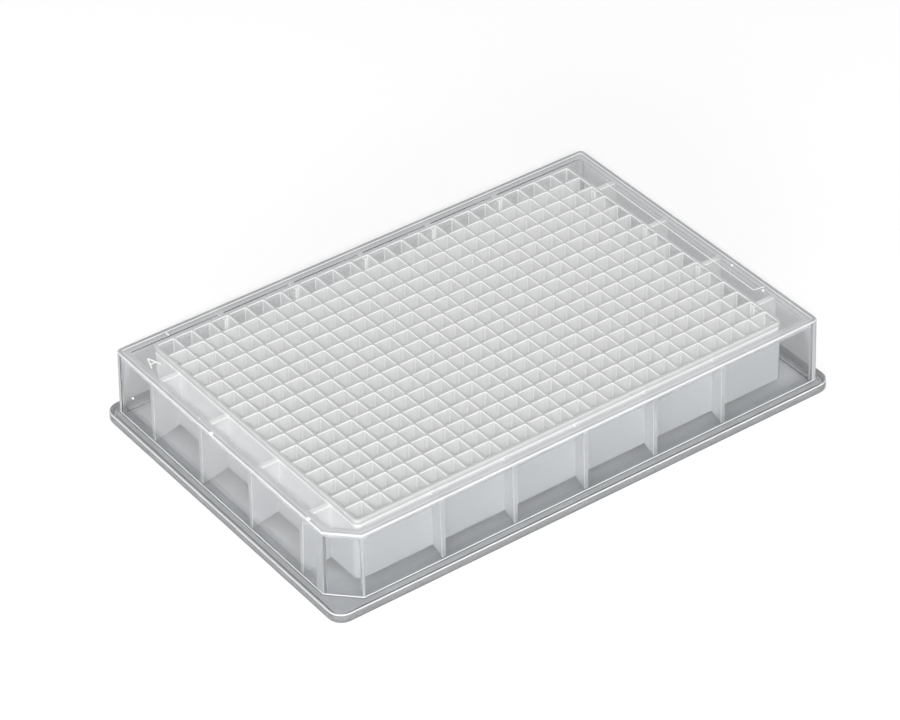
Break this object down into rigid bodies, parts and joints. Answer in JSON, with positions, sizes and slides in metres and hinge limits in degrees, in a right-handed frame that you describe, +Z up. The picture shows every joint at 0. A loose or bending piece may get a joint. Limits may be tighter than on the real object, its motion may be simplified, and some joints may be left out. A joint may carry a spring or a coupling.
{
  "type": "well plate",
  "caption": "Clear moulded microplate with a dense grid of small square wells, a skirt with a flanged foot and one cut corner.",
  "frame": {"origin": "centre of the footprint, on the plane that the foot stands on", "axes": "+X along the long side, from well column 1 to the last column; +Y along the short side, towards row A; +Z up, out of the well mouths"},
  "size_m": [0.1278, 0.0854, 0.018],
  "materials": {
    "clear_plastic": "natural translucent polypropylene, smooth moulded"
  },
  "bodies": {
    "root": {"well_plate": "clear_plastic"}
  },
  "joints": []
}
